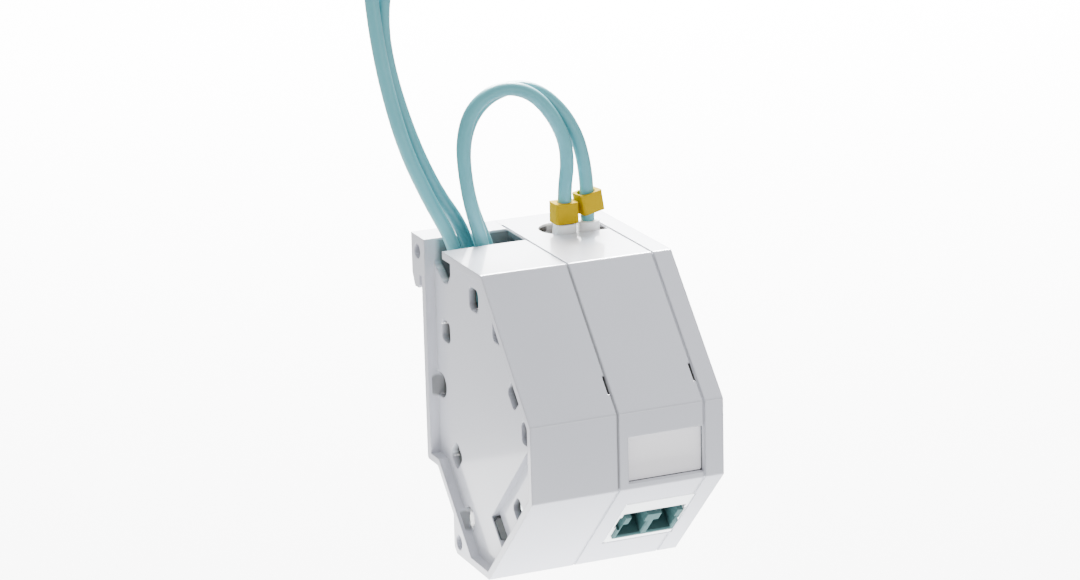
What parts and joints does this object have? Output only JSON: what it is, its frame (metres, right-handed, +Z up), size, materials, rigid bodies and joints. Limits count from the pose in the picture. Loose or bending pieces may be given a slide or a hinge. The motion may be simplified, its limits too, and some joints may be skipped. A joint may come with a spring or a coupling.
{
  "type": "din rail keystone holder",
  "caption": "Rail-mounted holder with a fibre coupler in a keystone opening, a side store for spare cord, and a two-strand cord that loops out of its top.",
  "frame": {"origin": "middle of the width over store, housing and cover, on the front face of the rail's lips, at mid-height of the rail", "axes": "+X along the rail towards the side cover, -Y the front, +Z up"},
  "size_m": [0.0528, 0.057, 0.1685],
  "materials": {
    "housing": "satin light grey",
    "foot": "satin dark grey",
    "spring": "bright wire",
    "pin": "satin light grey",
    "label": "matte",
    "keystone": "satin white",
    "coupler": "satin aqua",
    "ceramic": "polished",
    "plug": "satin",
    "clip": "satin white",
    "crimp": "plated",
    "boot": "matte white",
    "cord": "satin aqua sheath",
    "marker": "satin yellow"
  },
  "bodies": {
    "holder": {"store_shell": "housing", "module_shell": "housing", "side_cover": "housing", "foot_spring": "spring", "coupling_pin_top": "pin", "coupling_pin_bottom": "pin", "label_card": "label", "keystone_frame": "keystone", "coupler_body": "coupler", "sleeve_a": "ceramic", "sleeve_b": "ceramic", "ferrule_a": "ceramic", "ferrule_b": "ceramic", "far_ferrule_a": "ceramic", "far_ferrule_b": "ceramic", "plug_a": "plug", "plug_b": "plug", "far_plug_a": "plug", "far_plug_b": "plug", "duplex_clip": "clip", "far_duplex_clip": "clip", "crimp_a": "crimp", "crimp_b": "crimp", "far_crimp_a": "crimp", "far_crimp_b": "crimp", "boot_a": "boot", "boot_b": "boot", "far_boot_a": "boot", "far_boot_b": "boot", "cord_a": "cord", "cord_b": "cord", "marker_a": "marker", "marker_b": "marker"},
    "foot": {"rail_foot": "foot"}
  },
  "joints": [
    {"name": "rail_foot_slide", "type": "slide", "parent": "holder", "child": "foot", "axis": [0, 0, -1], "range_m": [0, 0.003], "stiffness_N_per_m": 1500, "springref_m": -0.002, "deforming": ["foot_spring"]}
  ]
}
